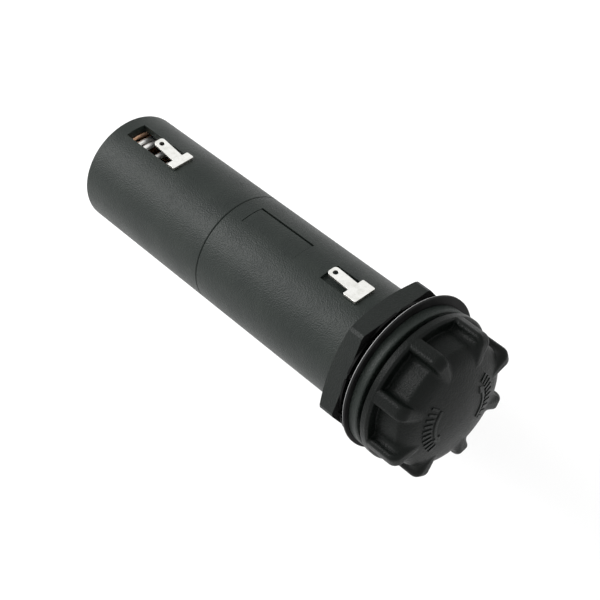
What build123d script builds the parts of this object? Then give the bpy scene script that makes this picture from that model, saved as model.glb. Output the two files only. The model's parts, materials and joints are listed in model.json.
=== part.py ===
"""Sealed panel-mount holder for one 14 x 51 mm cartridge fuse, as separate pieces.

Every piece is drawn in a turning frame: local Z runs along the holder's axis from the
plain rear end towards the screw cap, with 0 at the panel face of the gasket, and local X
points at the two solder tags.  place() lays that frame down, so that in the finished
part the cap points along +X and the tags point up along +Z.
"""
from build123d import *
from math import atan2, cos, degrees, hypot, radians, sin
import os

# ---- driving dimensions, millimetres ---------------------------------------------------

# tubular housing: radii
TUBE_R = 10.0
BORE_R = 8.7
NARROW_BORE_R = 7.95
# housing: heights along the axis
REAR_END = -68.2
END_WALL = 2.2
SEAM = -38.0
SEAM_GAP = 0.06
SPIGOT_END = -20.5
WIDE_BORE_END = -44.6
GASKET_T = 0.5
FLANGE_T = 1.8
MOUTH = GASKET_T + FLANGE_T
FLANGE_R = 12.4
EDGE = 0.12
# cutters through the wall reach from well inside the bore to well outside the tube
INSIDE_WALL = 6.5
OUTSIDE_WALL = 11.0

# outside thread for the panel nut, and the nut
PANEL_PITCH = 1.5
THREAD_CREST_R = 10.55
NUT_CREST_R = 10.12
NUT_ROOT_R = 10.7
THREAD_START = -4.25
NUT_REAR = -5.2
NUT_T = 3.5
NUT_ACROSS_FLATS = 23.73
NUT_CORNER_R = 13.52
NUT_CORNER_AT = 31.3
WASHER_T = 0.4
WASHER_R = 12.3
WASHER_TEETH = 12
RING_BORE_R = 10.8
GASKET_R = 13.4
GASKET_BORE_R = 11.05
# the loose gasket lies this far off centre, up and away from the -Y side
GASKET_SHIFT = (0.25, -0.3)

# cap thread in the mouth
CAP_LEAD = 2.5
MOUTH_CREST_R = 8.1
PLUG_CREST_R = 8.5
PLUG_END = -4.2
SEAL_FLOOR = 1.73
SEAL_SEAT_R = 10.05
SEAL_R = 9.2
SEAL_CORD_R = 0.62

# cap
RIM_REAR = 3.13
RIM_FRONT = 4.6
RIM_R = 12.58
CROWN_R = 10.7
CROWN_WALL_TOP = 8.44
CAP_BORE_R = 7.35
CAP_BORE_TOP = 8.2
BOSS_R = 3.4
BOSS_END = -1.4
LOBES = 8
LOBE_PHASE = 12.7
LOBE_TOP = 8.7
LOBE_R = 12.55
LOBE_CORNER = 1.6
LOBE_ROOT_R = 7.5
LOBE_RISE = 0.3
LOBE_ROOT_W = 1.7
LOBE_OUTER_W = 2.84
LOBE_EDGE = 0.7
ROOT_FILLET = 1.0

# windows, recess and latch
WINDOW_W = 3.77
REAR_WINDOW = (-65.3, -53.8)
FRONT_RECESS = (-16.7, -11.4)
RECESS_FLOOR = 9.3
LATCH_WINDOW = (-35.0, -22.73)
LATCH_SIDES = (-2.42, 2.02)
LUG = (-34.85, -22.75)
LUG_W = 4.0

# solder tags: heights of the T base, the tip and the wire hole, and how far the tip is bent up
TAG_T = 0.4
TAG_BASE_W = 4.2
TAG_TONGUE_W = 1.96
TAG_LEG_W = 2.4
TAG_HOLE_R = 0.45
REAR_TAG = {"base": (-53.9, -52.2), "tip": -59.0, "hole": -58.0, "lift": 0.85, "foot": 1}
FRONT_TAG = {"base": (-11.4, -8.7), "tip": -16.2, "hole": -15.25, "lift": 0.35, "foot": -1}
LEG_CLEARANCE = 0.2
FOOT_POCKET_R = 8.95
FOOT_R = 8.32
FOOT_T = 0.36
FOOT_LENGTH = 2.5

# crown contact rings that grip the ferrules
RING_OUTER_R = 8.3
RING_T = 0.3
RING_WAIST_R = 7.22
RING_HOOP = 2.6
RING_BOW = 4.0
RING_END_HOOP = 0.8
RING_FINGERS = 8
FINGER_GAP = 1.4
RIVET_R = 0.6

# fuse
FUSE_LENGTH = 51.0
FUSE_REAR = -53.7
FERRULE_R = 7.15
FERRULE_T = 0.4
FERRULE_LENGTH = 13.0
FUSE_TUBE_R = 6.7
FUSE_BORE_R = 5.2
ELEMENT_W = 4.0
ELEMENT_T = 0.2
ELEMENT_NECKS = 5

# rear spring, its cup and the contact button
CUP_R = 8.6
CUP_T = 0.5
CUP_TOP = -65.0
WIRE_R = 0.55
COIL_R = 7.45
LOW_PITCH = 1.5
LOW_TURNS = 1.4
HIGH_PITCH = 2.37
HIGH_CONE = -23
BUTTON_R = 6.9
BUTTON_FLANGE_T = 1.4
BUTTON_REAR = -58.0
BUTTON_NOSE_R = 4.0

# pressure disc and its rivet in the cap
DISC_R = 6.9
DISC_T = 1.2
DISC_GAP = 0.05

LIE_DOWN = Plane(origin=(0, 0, 0), x_dir=(0, 0, 1), z_dir=(1, 0, 0))


# ---- tools -----------------------------------------------------------------------------

def turned(outline, rounds=()):
    """Spin a closed outline of (radius, height) points about the axis; round some corners."""
    section = make_face(Polyline(*[(r, 0, h) for r, h in outline], close=True))
    for corner, radius in rounds:
        r, h = outline[corner]
        vertex = section.vertices().sort_by_distance((r, 0, h))[0]
        section = fillet(vertex, radius)
    return revolve(section, Axis.Z)


def ring(outer_r, inner_r, low, high):
    """A plain tube between two heights."""
    return turned([(inner_r, low), (outer_r, low), (outer_r, high), (inner_r, high)])


def rod(radius, low, high):
    """A plain cylinder on the axis between two heights."""
    return Pos(0, 0, low) * Cylinder(radius, high - low, align=(Align.CENTER, Align.CENTER, Align.MIN))


def slab(x_span, y_span, z_span):
    """A box between two values on each axis."""
    spans = (x_span, y_span, z_span)
    size = [high - low for low, high in spans]
    return Pos(*[span[0] for span in spans]) * Box(*size, align=(Align.MIN, Align.MIN, Align.MIN))


def side_plate(outline, half_width):
    """A plate with a side outline of (x, z) points, as thick as twice half_width along Y."""
    face = make_face(Polyline(*[(x, 0, z) for x, z in outline], close=True))
    return extrude(face, half_width, both=True)


def ridge(root, crest, lead, low, high, phase_height):
    """One helical thread ridge.  root and crest are (radius, width) of its section."""
    turns = (high - low) / lead + 2
    start = low - lead + (phase_height - low) % lead
    path = Pos(0, 0, start) * Helix(lead, turns * lead, root[0])
    corners = [
        (root[0], 0, start - root[1] / 2),
        (crest[0], 0, start - crest[1] / 2),
        (crest[0], 0, start + crest[1] / 2),
        (root[0], 0, start + root[1] / 2),
    ]
    swept = sweep(make_face(Polyline(*corners, close=True)), path, is_frenet=True)
    outside, inside = max(root[0], crest[0]) + 1, min(root[0], crest[0]) - 1
    return swept & ring(outside, inside, low, high)


def arc_step(start, from_deg, to_deg, radius):
    """Middle and end of a rounding arc on a crown; the angles are those of its normal."""
    centre_r = start[0] - radius * cos(radians(from_deg))
    centre_h = start[1] - radius * sin(radians(from_deg))
    points = []
    for angle in ((from_deg + to_deg) / 2, to_deg):
        a = radians(angle)
        points.append((centre_r + radius * cos(a), centre_h + radius * sin(a)))
    return points


def place(piece):
    """Lay a piece down from the turning frame into the part's own frame."""
    return piece.moved(Location(LIE_DOWN))


# ---- housing ---------------------------------------------------------------------------

def slot_for_tag(tag):
    """The slot that the tag's leg passes, and the pocket in the bore for its foot."""
    front = tag["base"][1]
    half_width = TAG_LEG_W / 2 + LEG_CLEARANCE
    leg_slot = slab((INSIDE_WALL, OUTSIDE_WALL), (-half_width, half_width),
                    (front - TAG_T - 0.1, front + 0.05))
    ends = sorted((front - TAG_T / 2, front - TAG_T / 2 + tag["foot"] * FOOT_LENGTH))
    foot_pocket = slab((INSIDE_WALL, FOOT_POCKET_R), (-half_width, half_width),
                       (ends[0] - 0.3, ends[1] + 0.3))
    return leg_slot + foot_pocket


def front_body():
    """Front half of the housing: tube, threaded barrel, panel flange and threaded mouth."""
    body = turned(
        [
            (BORE_R, SEAM), (TUBE_R - EDGE, SEAM), (TUBE_R, SEAM + EDGE), (TUBE_R, GASKET_T),
            (FLANGE_R, GASKET_T), (FLANGE_R, MOUTH), (SEAL_SEAT_R, MOUTH),
            (SEAL_SEAT_R, SEAL_FLOOR), (BORE_R, SEAL_FLOOR),
        ],
        rounds=[(4, 0.2), (5, 0.35), (6, 0.15)],
    )
    body += ridge((TUBE_R - 0.15, 1.05), (THREAD_CREST_R, 0.4), PANEL_PITCH,
                  THREAD_START, -0.25, 0)
    body += ridge((BORE_R + 0.15, 1.35), (MOUTH_CREST_R, 0.6), CAP_LEAD, -4.0, SEAL_FLOOR - 0.1, 0)
    body -= slab((RECESS_FLOOR, OUTSIDE_WALL), (-WINDOW_W / 2, WINDOW_W / 2), FRONT_RECESS)
    body -= slot_for_tag(FRONT_TAG)
    for turn in (0, 180):
        body -= Rot(0, 0, turn) * slab((INSIDE_WALL, OUTSIDE_WALL), LATCH_SIDES, LATCH_WINDOW)
    return body


def rear_body():
    """Rear half of the housing: closed tube, with a spigot and two snap lugs."""
    seam = SEAM - SEAM_GAP
    spigot_r = BORE_R - 0.08
    body = turned(
        [
            (0, REAR_END), (TUBE_R, REAR_END), (TUBE_R, seam - EDGE), (TUBE_R - EDGE, seam),
            (spigot_r, seam), (spigot_r, SPIGOT_END - 0.4), (spigot_r - 0.25, SPIGOT_END),
            (NARROW_BORE_R, SPIGOT_END), (NARROW_BORE_R, WIDE_BORE_END), (BORE_R, WIDE_BORE_END),
            (BORE_R, REAR_END + END_WALL), (0, REAR_END + END_WALL),
        ],
        rounds=[(1, 0.5), (10, 0.4)],
    )
    lug = slab((NARROW_BORE_R + 0.3, OUTSIDE_WALL), (-LUG_W / 2, LUG_W / 2), LUG)
    lug &= rod(TUBE_R, REAR_END, 0)
    body += lug + Rot(0, 0, 180) * lug
    body -= slab((INSIDE_WALL, OUTSIDE_WALL), (-WINDOW_W / 2, WINDOW_W / 2), REAR_WINDOW)
    body -= slot_for_tag(REAR_TAG)
    return body


# ---- panel hardware --------------------------------------------------------------------

def panel_nut():
    """Hexagon nut, chamfered towards the rear, with its inside thread."""
    circumradius = NUT_ACROSS_FLATS / 2 / cos(radians(30))
    blank = extrude(RegularPolygon(circumradius, 6, rotation=NUT_CORNER_AT), NUT_T)
    top = NUT_REAR + NUT_T
    envelope = turned(
        [
            (0, NUT_REAR), (NUT_ACROSS_FLATS / 2 - 0.1, NUT_REAR), (NUT_CORNER_R, NUT_REAR + 0.75),
            (NUT_CORNER_R, top), (0, top),
        ]
    )
    nut = Pos(0, 0, NUT_REAR) * blank & envelope
    nut -= turned(
        [
            (0, NUT_REAR - 1), (NUT_ROOT_R + 1.2, NUT_REAR - 1), (NUT_ROOT_R, NUT_REAR + 0.2),
            (NUT_ROOT_R, top - 0.2), (NUT_ROOT_R + 1.2, top + 1), (0, top + 1),
        ]
    )
    return nut + ridge((NUT_ROOT_R + 0.15, 1.03), (NUT_CREST_R, 0.3), PANEL_PITCH,
                       NUT_REAR + 0.2, top - 0.2, PANEL_PITCH / 2)


def lock_washer():
    """Thin toothed washer between the nut and the panel."""
    low = NUT_REAR + NUT_T + 0.05
    washer = ring(WASHER_R, RING_BORE_R, low, low + WASHER_T)
    for tooth in range(WASHER_TEETH):
        gap = slab((RING_BORE_R + 0.8, 14), (-0.45, 0.45), (low - 1, low + 1))
        washer -= Rot(0, 0, tooth * 360 / WASHER_TEETH) * gap
    return washer


def panel_gasket():
    """Flat rubber washer under the flange, lying a little off centre."""
    washer = turned(
        [(GASKET_BORE_R, 0), (GASKET_R, 0), (GASKET_R, GASKET_T), (GASKET_BORE_R, GASKET_T)],
        rounds=[(1, 0.12), (2, 0.12)],
    )
    return Pos(*GASKET_SHIFT, 0) * washer


# ---- cap -------------------------------------------------------------------------------

def crown_outline():
    """Right-hand half section of the cap's crown, from the rim to the top of its dome."""
    wall_top = (CROWN_R, CROWN_WALL_TOP)
    shoulder = arc_step(wall_top, 0, 45, 1.0)
    slope = arc_step(shoulder[1], 45, 75, 5.0)
    dome_radius = slope[1][0] / cos(radians(75))
    dome = arc_step(slope[1], 75, 90, dome_radius)
    return wall_top, shoulder, slope, dome


def crown_top():
    """Height of the middle of the cap's dome."""
    return crown_outline()[3][1][1]


def in_section(point):
    """A (radius, height) point in the section plane."""
    return (point[0], 0, point[1])


def crown():
    """Cap blank: rim, crown wall and dome, solid."""
    wall_top, shoulder, slope, dome = crown_outline()
    start = (0, RIM_REAR)
    straight = [start, (RIM_R - 0.15, RIM_REAR), (RIM_R, RIM_REAR + 0.15),
                (RIM_R, RIM_FRONT - 0.3), (RIM_R - 0.3, RIM_FRONT), (CROWN_R, RIM_FRONT), wall_top]
    edges = Polyline(*[in_section(p) for p in straight])
    last = wall_top
    for middle, end in (shoulder, slope, dome):
        edges += ThreePointArc(in_section(last), in_section(middle), in_section(end))
        last = end
    edges += Line(in_section(last), in_section(start))
    return revolve(make_face(edges), Axis.Z)


def grip_lobe():
    """One finger grip: as far out as the rim, rounded over its top, narrower inwards."""
    low = RIM_FRONT - 0.8
    corner = arc_step((LOBE_R, LOBE_TOP), 0, 80, LOBE_CORNER)
    top_r, top_h = corner[1]
    side = Polyline((LOBE_ROOT_R, 0, low), (LOBE_R, 0, low), (LOBE_R, 0, LOBE_TOP))
    side += ThreePointArc((LOBE_R, 0, LOBE_TOP), in_section(corner[0]), in_section(corner[1]))
    side += Polyline(in_section(corner[1]), (LOBE_ROOT_R, 0, top_h + LOBE_RISE), (LOBE_ROOT_R, 0, low))
    sector = Rot(0, 0, -15) * revolve(make_face(side), Axis.Z, 30)
    outer = RIM_R + 1
    plan = Polyline((LOBE_ROOT_R, -LOBE_ROOT_W / 2), (outer, -LOBE_OUTER_W / 2),
                    (outer, LOBE_OUTER_W / 2), (LOBE_ROOT_R, LOBE_ROOT_W / 2), close=True)
    lobe = sector & extrude(make_face(plan), 20)
    long_edges = [
        edge for edge in lobe.edges()
        if edge.center().X > top_r - 3 and edge.center().Z > RIM_FRONT and abs(edge.center().Y) > 0.5
    ]
    return fillet(long_edges, LOBE_EDGE)


def root_edges(body, blank):
    """The inside corners where the grips leave the crown, above its rim."""
    ring_heights = [edge.center().Z for edge in blank.edges() if edge.geom_type == GeomType.CIRCLE]
    found = []
    for edge in body.edges():
        middle, start, end = edge @ 0.5, edge @ 0, edge @ 1
        level = abs(start.Z - end.Z) < 0.01
        own_ring = level and min(abs(middle.Z - height) for height in ring_heights) < 0.02
        seam = abs(middle.Y) < 0.001
        if middle.Z < RIM_FRONT + 0.1 or own_ring or seam:
            continue
        if min(face.distance_to(Vertex(middle)) for face in blank.faces()) < 0.01:
            found.append(edge)
    return found


def gripped_crown():
    """Crown with its grips, whose roots are rounded."""
    blank = crown()
    body = blank
    for k in range(LOBES):
        body += Rot(0, 0, LOBE_PHASE + k * 360 / LOBES) * grip_lobe()
    return fillet(root_edges(body, blank), ROOT_FILLET)


def cap():
    """Screw cap with eight finger grips, a threaded plug and a boss for the disc rivet."""
    body = gripped_crown()
    neck_low = SEAL_FLOOR + 0.02
    body += turned(
        [
            (0, PLUG_END), (NARROW_BORE_R, PLUG_END), (NARROW_BORE_R, neck_low),
            (PLUG_CREST_R, neck_low), (PLUG_CREST_R, RIM_REAR + 0.1), (0, RIM_REAR + 0.1),
        ],
        rounds=[(1, 0.2)],
    )
    body += ridge((NARROW_BORE_R - 0.15, 1.35), (PLUG_CREST_R, 0.6), CAP_LEAD,
                  PLUG_END + 0.4, 1.1, CAP_LEAD / 2)
    hollow = turned(
        [
            (BOSS_R, PLUG_END - 1), (CAP_BORE_R, PLUG_END - 1), (CAP_BORE_R, CAP_BORE_TOP),
            (BOSS_R, CAP_BORE_TOP + 1.2),
        ],
        rounds=[(2, 1.0)],
    )
    body -= hollow
    body -= rod(BOSS_R + 1, PLUG_END - 1, BOSS_END)
    return body - rod(1.0, BOSS_END - 1, 3.2)


def cap_o_ring():
    """Seal between the cap's rim and the housing's mouth."""
    height = SEAL_FLOOR + SEAL_CORD_R + 0.06
    return Pos(0, 0, height) * Torus(SEAL_R, SEAL_CORD_R)


def disc_rear():
    """Height of the face of the pressure disc that meets the fuse."""
    return FUSE_REAR + FUSE_LENGTH + DISC_GAP


def pressure_disc():
    """Brass disc that bears on the fuse and stays still while the cap turns."""
    low = disc_rear()
    disc = turned(
        [(0, low), (DISC_R, low), (DISC_R, low + DISC_T), (0, low + DISC_T)],
        rounds=[(1, 0.25), (2, 0.25)],
    )
    return disc - rod(2.2, low - 1, low + 0.55) - rod(1.05, low - 1, low + 2)


def disc_rivet():
    """Rivet that keeps the disc on the cap's boss."""
    low = disc_rear()
    return turned([(0, low + 0.03), (2.1, low + 0.03), (2.1, low + 0.5), (0.99, low + 0.5),
                   (0.99, 3.1), (0, 3.1)])


# ---- contacts --------------------------------------------------------------------------

def solder_tag(tag):
    """T-shaped tag: a foot in the bore, a leg through the wall, and a tongue bent up."""
    base_rear, base_front = tag["base"]
    half_tongue = TAG_TONGUE_W / 2
    base = slab((TUBE_R, TUBE_R + TAG_T), (-TAG_BASE_W / 2, TAG_BASE_W / 2), (base_rear, base_front))
    base = fillet(base.edges().filter_by(Axis.X), 0.25)
    low, high = TUBE_R, TUBE_R + TAG_T
    tip = tag["tip"]
    lift = tag["lift"]
    tongue = side_plate(
        [(low, base_rear + 0.6), (low, base_rear), (low + lift, tip), (high + lift, tip),
         (high, base_rear), (high, base_rear + 0.6)],
        half_tongue,
    )
    tip_edges = tongue.edges().filter_by(Axis.X).group_by(Axis.Z)[0]
    tongue = fillet(tip_edges, 0.6)
    lean = degrees(atan2(lift, base_rear - tip))
    hole_x = low + lift * (base_rear - tag["hole"]) / (base_rear - tip)
    hole = Pos(hole_x, 0, tag["hole"]) * Rot(0, 90 - lean, 0) * Cylinder(TAG_HOLE_R, 4)
    leg = slab((FOOT_R, high - 0.1), (-TAG_LEG_W / 2, TAG_LEG_W / 2), (base_front - TAG_T, base_front))
    ends = sorted((base_front - TAG_T / 2, base_front - TAG_T / 2 + tag["foot"] * FOOT_LENGTH))
    foot = slab((FOOT_R, FOOT_R + FOOT_T), (-TAG_LEG_W / 2, TAG_LEG_W / 2), ends)
    rivet_hole = Pos(FOOT_R, 0, rivet_height(tag)) * Rot(0, 90, 0) * Cylinder(RIVET_R, 2)
    return base + (tongue - hole) + leg + (foot - rivet_hole)


def rivet_height(tag):
    """Height of the rivet that joins a tag to its contact ring."""
    return tag["base"][1] - TAG_T / 2 + tag["foot"] * (RING_HOOP / 2 + 0.2)


def contact_ring(tag):
    """Crown contact: two hoops joined by fingers that bow in to the ferrule."""
    bow_start = RING_HOOP
    bow_end = bow_start + RING_BOW
    length = bow_end + RING_END_HOOP
    inner_r = RING_OUTER_R - RING_T
    middle = bow_start + RING_BOW / 2
    outer_points = [(inner_r, 0), (RING_OUTER_R, 0), (RING_OUTER_R, bow_start)]
    far_points = [(RING_OUTER_R, bow_end), (RING_OUTER_R, length), (inner_r, length), (inner_r, bow_end)]
    near_points = [(inner_r, bow_start), (inner_r, 0)]
    edges = Polyline(*[in_section(p) for p in outer_points])
    edges += ThreePointArc(in_section(outer_points[-1]), in_section((RING_WAIST_R + RING_T, middle)),
                           in_section(far_points[0]))
    edges += Polyline(*[in_section(p) for p in far_points])
    edges += ThreePointArc(in_section(far_points[-1]), in_section((RING_WAIST_R, middle)),
                           in_section(near_points[0]))
    edges += Line(in_section(near_points[0]), in_section(near_points[1]))
    crown_ring = revolve(make_face(edges), Axis.Z)
    for k in range(RING_FINGERS):
        gap = slab((INSIDE_WALL, OUTSIDE_WALL), (-FINGER_GAP / 2, FINGER_GAP / 2),
                   (bow_start + 0.3, bow_end - 0.3))
        crown_ring -= Rot(0, 0, (k + 0.5) * 360 / RING_FINGERS) * gap
    root = tag["base"][1] - TAG_T / 2
    if tag["foot"] < 0:
        crown_ring = mirror(crown_ring, Plane.XY)
    crown_ring = Pos(0, 0, root) * crown_ring
    return crown_ring - Pos(RING_OUTER_R, 0, rivet_height(tag)) * Rot(0, 90, 0) * Cylinder(RIVET_R, 2)


def tag_rivet(tag):
    """Rivet through a tag's foot and its contact ring, with a flat head inside."""
    shank = Cylinder(RIVET_R - 0.01, 0.96, align=(Align.CENTER, Align.CENTER, Align.MIN))
    head = Cylinder(RIVET_R + 0.35, 0.2, align=(Align.CENTER, Align.CENTER, Align.MAX))
    return Pos(RING_OUTER_R - RING_T - 0.06, 0, rivet_height(tag)) * Rot(0, 90, 0) * (shank + head)


def spring_cup():
    """Copper cup at the closed end that seats the spring."""
    low = REAR_END + END_WALL + 0.05
    return turned(
        [
            (0, low), (CUP_R, low), (CUP_R, CUP_TOP), (CUP_R - CUP_T, CUP_TOP),
            (CUP_R - CUP_T, low + CUP_T), (0, low + CUP_T),
        ],
        rounds=[(1, 0.45), (2, 0.15)],
    )


def contact_spring():
    """Spring of round wire: even turns in the cup, then wider, smaller turns to the button."""
    start = REAR_END + END_WALL + 0.05 + CUP_T + WIRE_R + 0.03
    low_rise = LOW_PITCH * LOW_TURNS
    high_rise = BUTTON_REAR - WIRE_R - 0.08 - start - low_rise
    low = Pos(0, 0, start) * Rot(0, 0, -360 * LOW_TURNS) * Helix(LOW_PITCH, low_rise, COIL_R)
    high = Pos(0, 0, start + low_rise) * Helix(HIGH_PITCH, high_rise, COIL_R, cone_angle=HIGH_CONE)
    wire_end = Plane(origin=low @ 0, z_dir=low % 0)
    return sweep(wire_end * Circle(WIRE_R), Wire([low.edge(), high.edge()]), is_frenet=True)


def contact_button():
    """Sprung button that presses the fuse forwards."""
    flange_top = BUTTON_REAR + BUTTON_FLANGE_T
    return turned(
        [
            (0, BUTTON_REAR), (BUTTON_R, BUTTON_REAR), (BUTTON_R, flange_top),
            (BUTTON_NOSE_R, flange_top), (BUTTON_NOSE_R, FUSE_REAR - 0.05), (0, FUSE_REAR - 0.05),
        ],
        rounds=[(1, 0.3), (2, 0.3), (4, 0.4)],
    )


# ---- fuse ------------------------------------------------------------------------------

def ferrule():
    """Pressed metal end cap of the fuse, with its closed end at height 0."""
    return turned(
        [
            (0, 0), (FERRULE_R, 0), (FERRULE_R, FERRULE_LENGTH),
            (FERRULE_R - FERRULE_T, FERRULE_LENGTH), (FERRULE_R - FERRULE_T, FERRULE_T),
            (0, FERRULE_T),
        ],
        rounds=[(1, 0.5), (2, 0.15)],
    )


def fuse_element():
    """Fuse strip with a row of necks."""
    low, high = FUSE_REAR + FERRULE_T + 0.02, FUSE_REAR + FUSE_LENGTH - FERRULE_T - 0.02
    strip = slab((-ELEMENT_T / 2, ELEMENT_T / 2), (-ELEMENT_W / 2, ELEMENT_W / 2), (low, high))
    pitch = (high - low) / (ELEMENT_NECKS + 1)
    for k in range(ELEMENT_NECKS):
        for side in (-1, 1):
            notch = Rot(0, 90, 0) * Cylinder(1.5, 2)
            strip -= Pos(0, side * ELEMENT_W / 2, low + (k + 1) * pitch) * notch
    return strip


def fuse_tube():
    """Ceramic tube of the fuse."""
    return ring(FUSE_TUBE_R, FUSE_BORE_R, FUSE_REAR + 0.5, FUSE_REAR + FUSE_LENGTH - 0.5)


def fuse_sand():
    """Sand that fills the fuse round its strip."""
    core = rod(FUSE_BORE_R - 0.03, FUSE_REAR + 0.5, FUSE_REAR + FUSE_LENGTH - 0.5)
    return core - fuse_element()


# ---- assembly --------------------------------------------------------------------------

PIECES = {
    "front_body": front_body(),
    "rear_body": rear_body(),
    "panel_nut": panel_nut(),
    "lock_washer": lock_washer(),
    "panel_gasket": panel_gasket(),
    "cap": cap(),
    "cap_o_ring": cap_o_ring(),
    "pressure_disc": pressure_disc(),
    "disc_rivet": disc_rivet(),
    "front_tag": solder_tag(FRONT_TAG),
    "front_contact_ring": contact_ring(FRONT_TAG),
    "front_tag_rivet": tag_rivet(FRONT_TAG),
    "rear_tag": solder_tag(REAR_TAG),
    "rear_contact_ring": contact_ring(REAR_TAG),
    "rear_tag_rivet": tag_rivet(REAR_TAG),
    "spring_cup": spring_cup(),
    "contact_spring": contact_spring(),
    "contact_button": contact_button(),
    "fuse_tube": fuse_tube(),
    "fuse_rear_ferrule": Pos(0, 0, FUSE_REAR) * ferrule(),
    "fuse_front_ferrule": Pos(0, 0, FUSE_REAR + FUSE_LENGTH) * mirror(ferrule(), Plane.XY),
    "fuse_element": fuse_element(),
    "fuse_sand": fuse_sand(),
}

os.makedirs("parts", exist_ok=True)
for name, piece in PIECES.items():
    export_step(place(piece), f"parts/{name}.step")
    print(f"{name}: {len(piece.solids())} solid, {piece.volume:.1f} mm3")
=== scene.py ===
import json
import math

import bpy
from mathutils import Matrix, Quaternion, Vector


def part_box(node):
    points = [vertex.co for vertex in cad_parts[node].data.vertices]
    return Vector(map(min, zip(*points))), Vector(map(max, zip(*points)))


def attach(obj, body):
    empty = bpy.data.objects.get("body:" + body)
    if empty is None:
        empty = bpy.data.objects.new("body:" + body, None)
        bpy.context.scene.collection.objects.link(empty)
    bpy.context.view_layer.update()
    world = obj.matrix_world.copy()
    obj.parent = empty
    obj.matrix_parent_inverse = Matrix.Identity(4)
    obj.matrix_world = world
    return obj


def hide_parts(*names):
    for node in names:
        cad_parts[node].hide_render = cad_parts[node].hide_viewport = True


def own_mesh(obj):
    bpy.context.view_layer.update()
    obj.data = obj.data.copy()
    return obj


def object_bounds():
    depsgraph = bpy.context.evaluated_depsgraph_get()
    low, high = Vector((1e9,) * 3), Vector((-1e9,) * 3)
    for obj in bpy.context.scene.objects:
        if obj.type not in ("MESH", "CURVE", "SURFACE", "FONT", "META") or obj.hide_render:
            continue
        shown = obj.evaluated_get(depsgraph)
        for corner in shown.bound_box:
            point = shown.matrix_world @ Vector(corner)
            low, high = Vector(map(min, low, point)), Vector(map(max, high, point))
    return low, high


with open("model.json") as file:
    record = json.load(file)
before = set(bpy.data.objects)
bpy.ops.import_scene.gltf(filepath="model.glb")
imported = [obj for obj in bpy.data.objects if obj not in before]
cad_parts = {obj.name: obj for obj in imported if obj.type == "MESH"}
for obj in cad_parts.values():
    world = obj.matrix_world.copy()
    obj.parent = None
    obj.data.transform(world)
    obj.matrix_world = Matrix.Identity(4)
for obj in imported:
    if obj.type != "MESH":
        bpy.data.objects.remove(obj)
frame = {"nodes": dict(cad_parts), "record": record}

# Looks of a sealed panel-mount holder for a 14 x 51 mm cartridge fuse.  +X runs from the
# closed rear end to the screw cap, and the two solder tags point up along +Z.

cad_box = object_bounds()
MM = 0.001


# ---- node tools ------------------------------------------------------------------------

class Value:
    """One output of a node tree.  Sums, products and powers of it add Math nodes."""

    def __init__(self, graph, socket):
        self.graph = graph
        self.socket = socket

    def math(self, operation, *inputs):
        sockets = dict(enumerate(inputs))
        return self.graph.add("ShaderNodeMath", {"operation": operation}, sockets)["Value"]

    def __add__(self, other):
        return self.math("ADD", self, other)

    def __radd__(self, other):
        return self.math("ADD", other, self)

    def __sub__(self, other):
        return self.math("SUBTRACT", self, other)

    def __rsub__(self, other):
        return self.math("SUBTRACT", other, self)

    def __mul__(self, other):
        return self.math("MULTIPLY", self, other)

    def __rmul__(self, other):
        return self.math("MULTIPLY", other, self)

    def __truediv__(self, other):
        return self.math("DIVIDE", self, other)

    def __pow__(self, other):
        return self.math("POWER", self, other)

    def at_least(self, other):
        return self.math("MAXIMUM", self, other)

    def at_most(self, other):
        return self.math("MINIMUM", self, other)

    def above(self, other):
        """1 where this is above other, and 0 elsewhere."""
        return self.math("GREATER_THAN", self, other)

    def wave(self):
        return self.math("SINE", self)

    def cosine(self):
        return self.math("COSINE", self)

    def size(self):
        return self.math("ABSOLUTE", self)

    def angle_over(self, across):
        """The angle, in radians, of a point this far up and across to the side."""
        return self.math("ARCTAN2", self, across)

    def ramp(self, low, high):
        """0 below low, 1 above high, and smooth between them."""
        return self.graph.add("ShaderNodeMapRange", {"interpolation_type": "SMOOTHSTEP"},
                              {"Value": self, "From Min": low, "From Max": high})["Result"]


class Graph:
    """The nodes of one material, or of one shape that Geometry Nodes make."""

    def __init__(self, tree):
        self.tree = tree

    def add(self, kind, settings=None, inputs=None):
        """Adds any node and returns its outputs by name.

        The settings come first, then what goes into the sockets: a value, a link or a list of links.
        """
        node = self.tree.nodes.new(kind)
        for name, setting in (settings or {}).items():
            setattr(node, name, setting)
        for key, value in (inputs or {}).items():
            if isinstance(key, int):
                socket = node.inputs[key]
            else:
                socket = next(s for s in node.inputs if s.name == key and s.enabled)
            if isinstance(value, list):
                for each in value:
                    self.tree.links.new(each.socket, socket)
            elif isinstance(value, Value):
                self.tree.links.new(value.socket, socket)
            else:
                socket.default_value = value
        return {s.name: Value(self, s) for s in reversed(node.outputs) if s.enabled}


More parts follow.
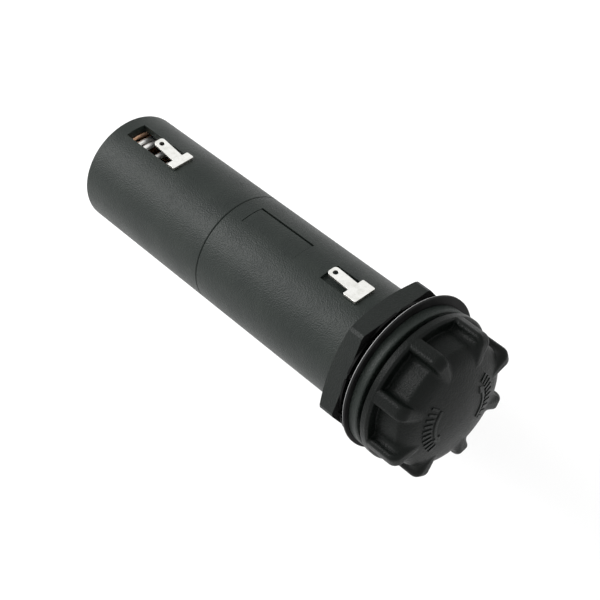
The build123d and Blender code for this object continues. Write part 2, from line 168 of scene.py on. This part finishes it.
class Finish(Graph):
    """A material in the making, on object coordinates in metres."""

    def __init__(self, name):
        self.material = bpy.data.materials.new(name)
        self.material.use_nodes = True
        super().__init__(self.material.node_tree)
        self.tree.nodes.clear()
        self.place = self.add("ShaderNodeTexCoord")["Object"]

    def stretched(self, x, y, z):
        """Object coordinates with each axis scaled, to draw a pattern out along the others."""
        return self.add("ShaderNodeVectorMath", {"operation": "MULTIPLY"},
                        {0: self.place, 1: (x, y, z)})["Vector"]

    def noise(self, size, detail=2.0, roughness=0.5, place=None, distortion=0.0):
        """Noise between about 0.25 and 0.75 whose patches are about size metres across."""
        return self.add("ShaderNodeTexNoise", {"noise_dimensions": "3D"},
                        {"Vector": place or self.place, "Scale": 1 / size, "Detail": detail,
                         "Roughness": roughness, "Distortion": distortion})["Fac"]

    def grains(self, size):
        """Distance to the nearest of scattered points, size metres apart."""
        return self.add("ShaderNodeTexVoronoi", {"feature": "F1"},
                        {"Vector": self.place, "Scale": 1 / size})["Distance"]

    def from_axis(self):
        """Distance from the holder's axis, in metres."""
        parts = self.add("ShaderNodeSeparateXYZ", None, {"Vector": self.place})
        return (parts["Y"] * parts["Y"] + parts["Z"] * parts["Z"]) ** 0.5

    def along(self, axis):
        """How far a point lies along X, Y or Z, in metres."""
        return self.add("ShaderNodeSeparateXYZ", None, {"Vector": self.place})[axis]

    def facing(self, axis):
        """How far the surface faces along X, Y or Z, from -1 to 1."""
        normal = self.add("ShaderNodeNewGeometry")["True Normal"]
        return self.add("ShaderNodeSeparateXYZ", None, {"Vector": normal})[axis]

    def blend(self, factor, first, second):
        """Colour that goes from first to second."""
        return self.add("ShaderNodeMix", {"data_type": "RGBA", "clamp_factor": True},
                        {"Factor": factor, "A": first, "B": second})["Result"]

    def soft_edges(self, radius):
        """Normals that round the edges over by radius metres.

        The holder's axis has no edges, and the flat normals there keep the dome's pole clean.
        """
        rounded = self.add("ShaderNodeBevel", {"samples": 6}, {"Radius": radius})["Normal"]
        plain = self.add("ShaderNodeNewGeometry")["True Normal"]
        off_axis = self.from_axis().ramp(0.8 * MM, 1.03 * MM)
        return self.add("ShaderNodeMix", {"data_type": "VECTOR"},
                        {"Factor": off_axis, "A": plain, "B": rounded})["Result"]

    def relief(self, height, distance, normal=None):
        """Normals of a surface raised by height times distance metres."""
        inputs = {"Height": height, "Distance": distance, "Strength": 1.0}
        if normal:
            inputs["Normal"] = normal
        return self.add("ShaderNodeBump", None, inputs)["Normal"]

    def done(self, **inputs):
        """Ends the material in a Principled shader; an input is named in lower case, words joined by _."""
        names = {name.replace("_", " ").title().replace("Ior", "IOR"): value
                 for name, value in inputs.items()}
        shader = self.add("ShaderNodeBsdfPrincipled", None, names)["BSDF"]
        self.add("ShaderNodeOutputMaterial", None, {"Surface": shader})
        return self.material


def grey(level):
    return (level, level, level, 1.0)


def tint(red, green, blue):
    return (red, green, blue, 1.0)


# ---- finishes --------------------------------------------------------------------------

METAL_EDGE = 0.06 * MM


def moulded_nylon(name, shade, gloss, roughness, edge, painted_shade_front=0.0):
    """Charcoal glass-filled nylon: spark-eroded grain, faint flow streaks, mottling and pale scuffs.

    The last argument is painted shade for the faces that look towards the cap: that share of their colour
    goes to black, and they get rougher.
    """
    f = Finish(name)
    mottle = f.noise(5 * MM, detail=4, roughness=0.62)
    flow = f.noise(1.3 * MM, detail=3, place=f.stretched(0.12, 1, 1), distortion=0.6)
    fibre = f.noise(0.28 * MM, detail=3, roughness=0.7)
    scuffs = f.noise(0.5 * MM, detail=4, roughness=0.75, place=f.stretched(0.2, 1, 1)).ramp(0.66, 0.76)
    shine = f.noise(9 * MM, detail=3)
    level = (mottle - 0.5) * 1.2 + (flow - 0.5) * 0.6 + (fibre - 0.5) * 0.8 + 0.5
    cool = tint(shade * 0.3, shade * 0.62, shade * 0.5)
    warm = tint(shade * 1.2, shade * 1.65, shade * 1.35)
    colour = f.blend(scuffs * 0.1, f.blend(level, cool, warm), grey(0.1))
    # painted shade: faces towards the cap go dark, as if shaded in the narrow gap in front of them
    painted_front_shade = f.facing("X").ramp(0.7, 0.95) * painted_shade_front
    pits = f.grains(0.22 * MM)
    height = fibre * 0.5 + pits * 0.6 + mottle * 1.5
    return f.done(
        base_color=f.blend(painted_front_shade, colour, grey(0.0)),
        roughness=(roughness + (shine - 0.5) * 0.16 + (fibre - 0.5) * 0.12
                   + scuffs * 0.08 + painted_front_shade * 0.5),
        specular_ior_level=gloss,
        normal=f.relief(height, 0.07 * MM, normal=f.soft_edges(edge)),
    )


def seal_rubber():
    """Black nitrile rubber with a dry bloom, and a painted highlight: a pale line round its rear rim."""
    f = Finish("seal_rubber")
    low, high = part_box("panel_gasket")
    centre = (low + high) / 2
    bloom = f.noise(2.5 * MM, detail=4, roughness=0.65)
    skin = f.noise(0.2 * MM, detail=3)
    across = f.along("Y") - centre.y
    upward = f.along("Z") - centre.z
    from_rim = (high.z - low.z) / 2 - (across * across + upward * upward) ** 0.5
    from_rear = f.along("X") - low.x
    line = (0.05 * MM, 0.16 * MM)
    # painted highlight: a pale line along the rear rim edge, where light would glint
    sheared_side_and_rim_highlight = (1 - from_rim.ramp(*line)) * (1 - from_rear.ramp(*line))
    rubber = f.blend(bloom.ramp(0.35, 0.75), grey(0.002), grey(0.006))
    return f.done(
        base_color=f.blend(sheared_side_and_rim_highlight * (bloom * 0.8 + 0.4), rubber, grey(0.6)),
        roughness=0.62 + (bloom - 0.5) * 0.2,
        specular_ior_level=0.16,
        normal=f.relief(skin * 0.6 + bloom, 0.01 * MM, normal=f.soft_edges(0.05 * MM)),
    )


def plated_strip(name, bright, dull, core, roughness):
    """Plated metal strip: rolling lines, cloudy patches, and the core showing on its sheared sides."""
    f = Finish(name)
    cloud = f.noise(1.1 * MM, detail=5, roughness=0.68)
    rolling = f.noise(0.16 * MM, detail=2, place=f.stretched(0.05, 1, 1))
    spots = f.noise(0.35 * MM, detail=3, roughness=0.8).ramp(0.62, 0.74)
    plated = f.blend(cloud.ramp(0.38, 0.7), bright, dull)
    marked = f.blend(spots * 0.35, plated, core)
    sheared_side_and_rim_highlight = 1 - f.facing("Z").size().ramp(0.5, 0.9)
    return f.done(
        base_color=f.blend(sheared_side_and_rim_highlight * 0.4, marked, core),
        metallic=1.0,
        roughness=roughness + (cloud - 0.5) * 0.22 + (rolling - 0.5) * 0.1 + spots * 0.12,
        normal=f.relief(rolling * 0.6 + cloud * 1.4, 0.012 * MM, normal=f.soft_edges(0.05 * MM)),
    )


def turned_metal(name, bright, dull, roughness):
    """Round metal piece with fine rings about the holder's axis and patches of tarnish."""
    f = Finish(name)
    radius = f.from_axis()
    ring_pitch = 0.09 * MM
    rings = (radius * (2 * math.pi / ring_pitch) + f.noise(0.8 * MM) * 3).wave()
    tarnish = f.noise(1.6 * MM, detail=5, roughness=0.66)
    pores = f.noise(0.12 * MM, detail=2)
    return f.done(
        base_color=f.blend(tarnish.ramp(0.4, 0.72), bright, dull),
        metallic=1.0,
        roughness=roughness + (tarnish - 0.5) * 0.3 + (pores - 0.5) * 0.08,
        normal=f.relief(rings * 0.3 + pores * 0.8 + tarnish, 0.006 * MM,
                        normal=f.soft_edges(METAL_EDGE)),
    )


def drawn_metal(name, bright, dull, roughness):
    """Deep-drawn or drawn metal: fine streaks along the axis over slow, soft dents."""
    f = Finish(name)
    streaks = f.noise(0.14 * MM, detail=3, place=f.stretched(0.04, 1, 1))
    dents = f.noise(3 * MM, detail=2)
    tarnish = f.noise(2.2 * MM, detail=5, roughness=0.7)
    return f.done(
        base_color=f.blend(tarnish.ramp(0.42, 0.75), bright, dull),
        metallic=1.0,
        roughness=roughness + (streaks - 0.5) * 0.16 + (tarnish - 0.5) * 0.18,
        normal=f.relief(streaks * 0.25 + dents * 2, 0.01 * MM, normal=f.soft_edges(METAL_EDGE)),
    )


def glazed_ceramic():
    """Cream steatite with iron specks under a thin glaze."""
    f = Finish("fuse_ceramic")
    cloud = f.noise(4 * MM, detail=4)
    specks = f.grains(1.1 * MM)
    body = f.blend(cloud.ramp(0.35, 0.7), tint(0.66, 0.62, 0.53), tint(0.58, 0.54, 0.46))
    ripple = f.noise(1.5 * MM, detail=3)
    return f.done(
        base_color=f.blend((1 - specks.ramp(0.05, 0.12)) * 0.6, body, tint(0.3, 0.24, 0.16)),
        roughness=0.28 + (cloud - 0.5) * 0.15,
        coat_weight=0.5,
        coat_roughness=0.12,
        normal=f.relief(ripple, 0.02 * MM, normal=f.soft_edges(0.12 * MM)),
    )


def quartz_sand():
    """Packed quartz filler: angular grains of mixed pale browns."""
    f = Finish("quartz_sand")
    grains = f.grains(0.35 * MM)
    tone = f.noise(0.4 * MM, detail=1)
    return f.done(
        base_color=f.blend(tone.ramp(0.35, 0.65), tint(0.62, 0.53, 0.4), tint(0.84, 0.79, 0.7)),
        roughness=0.75 - grains * 0.3,
        normal=f.relief(1 - grains, 0.12 * MM),
    )


FINISHES = {
    "housing_plastic": moulded_nylon("housing_plastic", 0.011, 0.26, 0.46, 0.1 * MM),
    # the nut gets painted shade on its face towards the cap
    "nut_plastic": moulded_nylon("nut_plastic", 0.006, 0.22, 0.46, 0.16 * MM, painted_shade_front=1.0),
    "cap_plastic": moulded_nylon("cap_plastic", 0.003, 0.125, 0.4, 0.34 * MM),
    "mark_plastic": moulded_nylon("mark_plastic", 0.004, 0.17, 0.38, 0.04 * MM),
    "seal_rubber": seal_rubber(),
    # the washer's near-black is partly its blackened finish and partly painted shade for the dark gap
    # between nut and gasket
    "blackened_steel": drawn_metal("blackened_steel", grey(0.008), grey(0.014), 0.6),
    "tinned_brass": plated_strip("tinned_brass", tint(0.9, 0.9, 0.87), tint(0.74, 0.74, 0.7),
                                 tint(0.4, 0.36, 0.28), 0.34),
    "silvered_brass": turned_metal("silvered_brass", tint(0.86, 0.84, 0.8),
                                   tint(0.6, 0.55, 0.47), 0.24),
    "contact_brass": turned_metal("contact_brass", tint(0.76, 0.57, 0.26),
                                  tint(0.5, 0.34, 0.15), 0.26),
    "cup_copper": turned_metal("cup_copper", tint(0.9, 0.6, 0.42), tint(0.55, 0.31, 0.19), 0.42),
    "spring_steel": drawn_metal("spring_steel", tint(0.93, 0.92, 0.9), tint(0.78, 0.76, 0.72), 0.4),
    "fuse_ceramic": glazed_ceramic(),
    "ferrule_plating": drawn_metal("ferrule_plating", tint(0.62, 0.6, 0.56),
                                   tint(0.52, 0.5, 0.46), 0.24),
    "element_silver": drawn_metal("element_silver", tint(0.88, 0.87, 0.85),
                                  tint(0.68, 0.66, 0.62), 0.22),
    "quartz_sand": quartz_sand(),
}


# ---- carried-over pieces ---------------------------------------------------------------

SLOT_OF = {row["node"]: row["material_slot"] for row in frame["record"]["subparts"]}

for name, piece in frame["nodes"].items():
    piece.data.materials.clear()
    piece.data.materials.append(FINISHES[SLOT_OF[name]])


# ---- shapes that Geometry Nodes make ---------------------------------------------------

# the cap's shallow dome is part of a ball of this radius
DOME_R = 31.57 * MM


class Recipe(Graph):
    """A Geometry Nodes tree with named sizes, which is baked to one plain mesh."""

    def __init__(self, name):
        super().__init__(bpy.data.node_groups.new(name, "GeometryNodeTree"))
        self.name = name
        self.sizes = {}

    def size_input(self, **values):
        """Named inputs with their values; returns them as values of the tree, in the same order."""
        for label, value in values.items():
            socket = self.tree.interface.new_socket(label, in_out="INPUT",
                                                    socket_type="NodeSocketFloat")
            self.sizes[socket.identifier] = value
        outputs = self.add("NodeGroupInput")
        return [outputs[label] for label in values]

    def position(self):
        """Where each point is, as outputs X, Y and Z."""
        spot = self.add("GeometryNodeInputPosition")["Position"]
        return self.add("ShaderNodeSeparateXYZ", None, {"Vector": spot})

    def baked(self, geometry, finish):
        """Ends the tree in Realize Instances and Set Material, and returns the finished piece."""
        real = self.add("GeometryNodeRealizeInstances", None, {"Geometry": geometry})["Geometry"]
        coated = self.add("GeometryNodeSetMaterial", None,
                          {"Geometry": real, "Material": FINISHES[finish]})["Geometry"]
        self.tree.interface.new_socket("Shape", in_out="OUTPUT", socket_type="NodeSocketGeometry")
        self.add("NodeGroupOutput", None, {0: coated})
        blank = bpy.data.meshes.new(self.name + "_recipe")
        holder = bpy.data.objects.new(self.name + "_recipe", blank)
        bpy.context.scene.collection.objects.link(holder)
        modifier = holder.modifiers.new("recipe", "NODES")
        modifier.node_group = self.tree
        for identifier, value in self.sizes.items():
            modifier[identifier] = value
        evaluated = holder.evaluated_get(bpy.context.evaluated_depsgraph_get())
        mesh = bpy.data.meshes.new_from_object(evaluated)
        mesh.name = self.name
        bpy.data.objects.remove(holder)
        piece = bpy.data.objects.new(self.name, mesh)
        bpy.context.scene.collection.objects.link(piece)
        return piece


def coil_spring():
    """The contact spring: even turns in the cup, then wider and smaller turns up to the button."""
    low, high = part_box("contact_spring")
    wire = 0.55 * MM
    coil = high.z - wire
    foot_turns = 1.4
    foot_rise = 1.5 * MM
    top_rise = 2.37 * MM
    cone = math.radians(23)
    start = low.x + wire
    left = high.x - wire - start - foot_turns * foot_rise
    r = Recipe("coil_spring")
    wire_r, coil_r, first, low_turns, low_pitch, high_turns, high_pitch, slope = r.size_input(
        wire_radius=wire, coil_radius=coil, start=start, low_turns=foot_turns, low_pitch=foot_rise,
        high_turns=left / top_rise, high_pitch=top_rise, cone_slope=math.tan(cone))
    line = r.add("GeometryNodeCurvePrimitiveLine")["Curve"]
    points = r.add("GeometryNodeResampleCurve", None, {"Curve": line, "Count": 400})["Curve"]
    turn = r.add("GeometryNodeSplineParameter")["Factor"] * (low_turns + high_turns) - low_turns
    opened = turn.at_least(0) * high_pitch
    along = first + (turn.at_most(0) + low_turns) * low_pitch + opened
    radius = coil_r - opened * slope
    angle = turn * (2 * math.pi)
    spot = r.add("ShaderNodeCombineXYZ", None,
                 {"X": along, "Y": radius * angle.wave() * -1, "Z": radius * angle.cosine()})["Vector"]
    path = r.add("GeometryNodeSetPosition", None, {"Geometry": points, "Position": spot})["Geometry"]
    section = r.add("GeometryNodeCurvePrimitiveCircle", None,
                    {"Resolution": 20, "Radius": wire_r})["Curve"]
    tube = r.add("GeometryNodeCurveToMesh", None,
                 {"Curve": path, "Profile Curve": section, "Fill Caps": True})["Mesh"]
    smooth = r.add("GeometryNodeSetShadeSmooth", None, {"Geometry": tube})["Geometry"]
    return r.baked(smooth, "spring_steel")


spring = coil_spring()
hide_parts("contact_spring")
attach(spring, "housing")
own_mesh(spring)


MARK_STARTS = (math.radians(47), math.radians(227))
MARK_SWEEP = math.radians(78)


def mark_arcs(recipe, radius, points):
    """The two arcs that the marks follow, one on each side of the dome."""
    pair = [recipe.add("GeometryNodeCurveArc", {"mode": "RADIUS"},
                       {"Resolution": points, "Radius": radius, "Start Angle": start,
                        "Sweep Angle": MARK_SWEEP})["Curve"] for start in MARK_STARTS]
    return recipe.add("GeometryNodeJoinGeometry", None, {"Geometry": pair})["Geometry"]


def turn_marks():
    """Two raised curved arrows with a row of short bars round each, a sign that the cap turns.

    They are drawn flat, on X and Y, and then laid on the dome.
    """
    r = Recipe("turn_marks")
    (arrow_r, line_r, head_r, head_share, bar_r, bar_length, bar_width,
     relief, dome_r, dome_top) = r.size_input(
        arrow_radius=5.0 * MM, line_radius=0.26 * MM, head_radius=0.8 * MM, head_share=0.22,
        bar_radius=6.45 * MM, bar_length=1.5 * MM, bar_width=0.42 * MM,
        relief=0.14 * MM, dome_radius=DOME_R, dome_top=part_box("cap")[1].x)
    step = r.add("GeometryNodeSplineParameter")["Factor"]
    head = step.above(1 - head_share)
    width = line_r * (1 - head) + head_r * head * ((1 - step) / head_share)
    section = r.add("GeometryNodeCurvePrimitiveCircle", None, {"Resolution": 12, "Radius": 1.0})["Curve"]
    arrows = r.add("GeometryNodeCurveToMesh", None,
                   {"Curve": mark_arcs(r, arrow_r, 64), "Profile Curve": section,
                    "Scale": width.at_least(0.03 * MM), "Fill Caps": True})["Mesh"]
    size = r.add("ShaderNodeCombineXYZ", None,
                 {"X": bar_length, "Y": bar_width, "Z": relief * 4})["Vector"]
    bar = r.add("GeometryNodeMeshCube", None, {"Size": size, "Vertices X": 6})["Mesh"]
    here = r.position()
    turned = r.add("ShaderNodeCombineXYZ", None, {"Z": here["Y"].angle_over(here["X"])})["Vector"]
    bars = r.add("GeometryNodeInstanceOnPoints", None,
                 {"Points": mark_arcs(r, bar_r, 10), "Instance": bar, "Rotation": turned})["Instances"]
    real = r.add("GeometryNodeRealizeInstances", None, {"Geometry": bars})["Geometry"]
    flat = r.add("GeometryNodeJoinGeometry", None, {"Geometry": [arrows, real]})["Geometry"]
    spot = r.position()
    up = spot["X"]
    side = spot["Y"]
    above = spot["Z"]
    dome = dome_top - dome_r + (dome_r * dome_r - up * up - side * side) ** 0.5
    lift = (above * 2).at_most(relief).at_least(relief * -1)
    laid = r.add("ShaderNodeCombineXYZ", None, {"X": dome + lift, "Y": side * -1, "Z": up})["Vector"]
    placed = r.add("GeometryNodeSetPosition", None, {"Geometry": flat, "Position": laid})["Geometry"]
    return r.baked(placed, "mark_plastic")


marks = turn_marks()
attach(marks, "cap")


# ---- studio ----------------------------------------------------------------------------

def studio_floor():
    """A wide white table that glows a little, some way under the holder."""
    low = cad_box[0].z - 25 * MM
    half = 3.0
    mesh = bpy.data.meshes.new("table_top")
    corners = [(-half, -half, low), (half, -half, low), (half, half, low), (-half, half, low)]
    mesh.from_pydata(corners, [], [(0, 1, 2, 3)])
    floor = bpy.data.objects.new("table_top", mesh)
    bpy.context.scene.collection.objects.link(floor)
    f = Finish("white_table")
    haze = f.noise(0.4)
    floor.data.materials.append(f.done(
        base_color=f.blend(haze, grey(0.6), grey(0.64)),
        roughness=0.7,
        emission_color=grey(1.0),
        emission_strength=0.36,
    ))


def softbox(name, position, target, width, height, power):
    """A rectangular soft light that faces target."""
    light = bpy.data.lights.new(name, "AREA")
    light.shape = "RECTANGLE"
    light.size = width
    light.size_y = height
    light.energy = power
    lamp = bpy.data.objects.new(name, light)
    lamp.location = position
    lamp.rotation_euler = (Vector(target) - Vector(position)).to_track_quat("-Z", "Y").to_euler()
    bpy.context.scene.collection.objects.link(lamp)


def camera(position, target, lens, roll):
    """The camera at position, aimed at target, with a small roll about its own axis in degrees."""
    data = bpy.data.cameras.new("camera")
    data.lens = lens
    data.clip_start = 0.01
    seen = bpy.data.objects.new("camera", data)
    seen.rotation_mode = "QUATERNION"
    aim = (Vector(target) - Vector(position)).to_track_quat("-Z", "Y")
    own_axis = Vector((0, 0, 1))
    seen.rotation_quaternion = aim @ Quaternion(own_axis, math.radians(roll))
    seen.location = position
    bpy.context.scene.collection.objects.link(seen)
    bpy.context.scene.camera = seen


def white_room():
    """Even white light from all round."""
    world = bpy.data.worlds.new("white_room")
    world.use_nodes = True
    background = world.node_tree.nodes["Background"]
    background.inputs["Color"].default_value = grey(1.0)
    background.inputs["Strength"].default_value = 1.0
    bpy.context.scene.world = world
    bpy.context.scene.view_settings.view_transform = "Standard"


studio_floor()
white_room()
middle = (-25 * MM, 0, 0)
softbox("key", (-0.57, -0.39, 0.5), middle, width=0.36, height=0.4, power=5.6)
camera(position=(110.99 * MM, -110.77 * MM, 170.57 * MM), target=(-23.27 * MM, -0.68 * MM, -0.44 * MM),
       lens=91.88, roll=-3.31)
